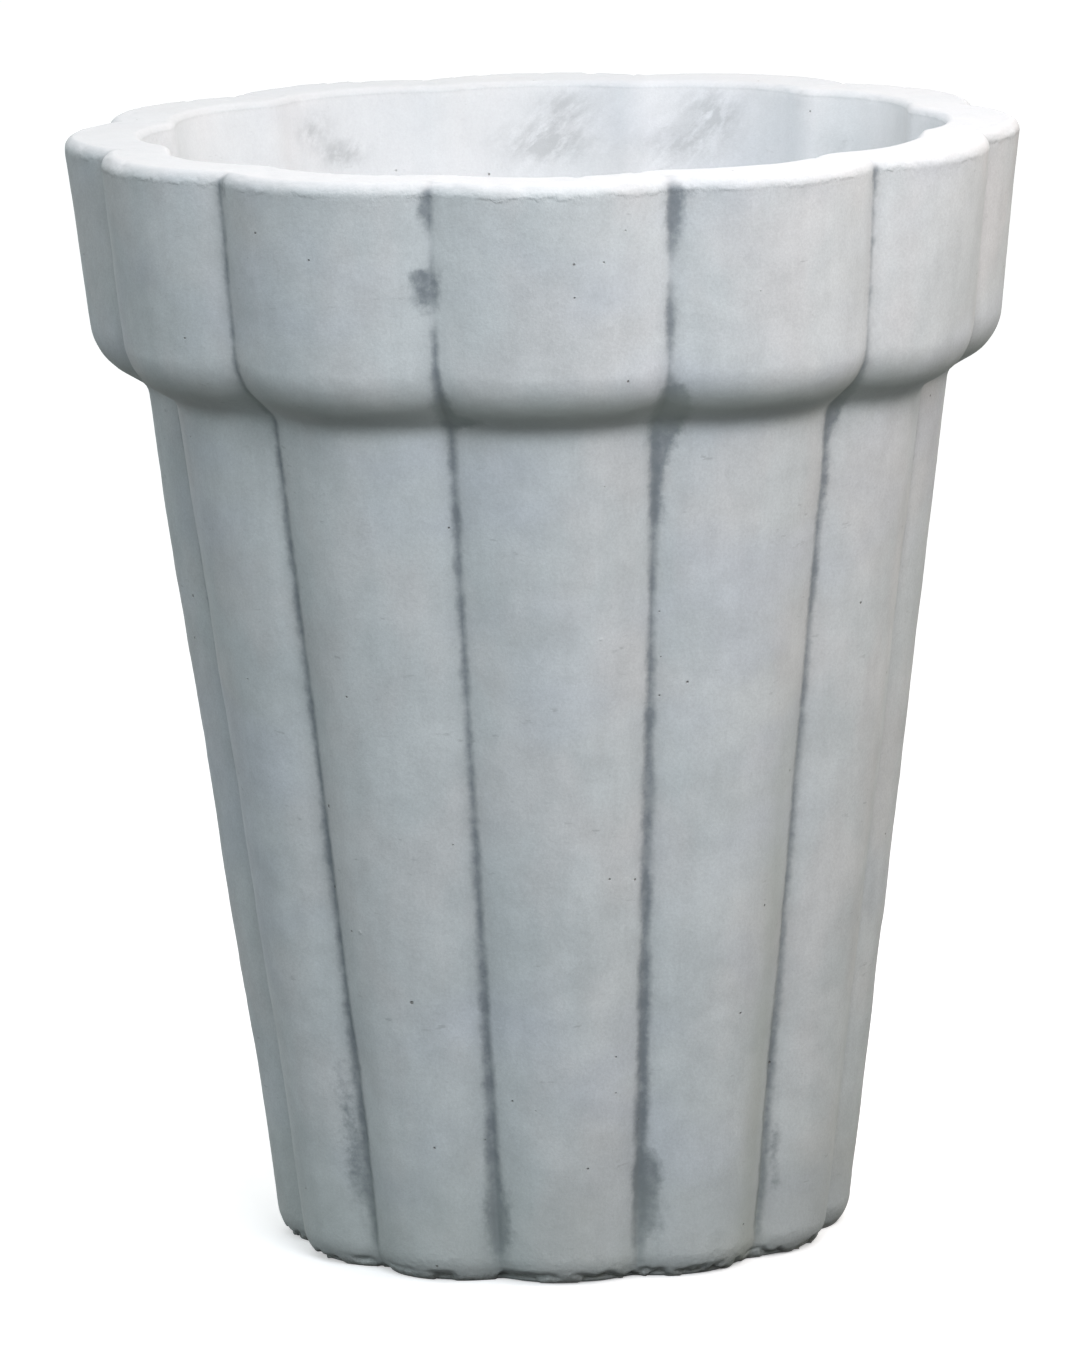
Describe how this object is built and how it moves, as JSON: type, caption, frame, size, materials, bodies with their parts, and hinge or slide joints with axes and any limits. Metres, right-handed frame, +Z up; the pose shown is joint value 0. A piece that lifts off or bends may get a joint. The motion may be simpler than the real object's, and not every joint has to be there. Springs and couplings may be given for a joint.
{
  "type": "fluted urn planter",
  "caption": "Tall tapered cast-stone planter with rounded vertical flutes, a deep overhanging collar, a scalloped rim, a drain hole and cast-in steel reinforcement",
  "frame": {"origin": "on the ground, on the pot's vertical axis, at the centre of its base", "axes": "+Z up along the pot's axis; a lobe's crest faces -Y, the side seen in the picture, and another faces +X"},
  "size_m": [0.6, 0.6, 0.706],
  "materials": {
    "cast_stone": "matt, chalky, pale grey wash with dark staining in the valleys",
    "drain_plastic": "dull grey pipe",
    "reinforcing_bar": "plain mill-finish round bar"
  },
  "bodies": {
    "root": {"planter_body": "cast_stone", "drain_sleeve": "drain_plastic", "rim_hoop": "reinforcing_bar", "shoulder_hoop": "reinforcing_bar", "waist_hoop": "reinforcing_bar", "base_hoop": "reinforcing_bar", "floor_hoop": "reinforcing_bar", "upright_bar_1": "reinforcing_bar", "upright_bar_2": "reinforcing_bar", "upright_bar_3": "reinforcing_bar", "upright_bar_4": "reinforcing_bar", "upright_bar_5": "reinforcing_bar", "upright_bar_6": "reinforcing_bar"}
  },
  "joints": []
}
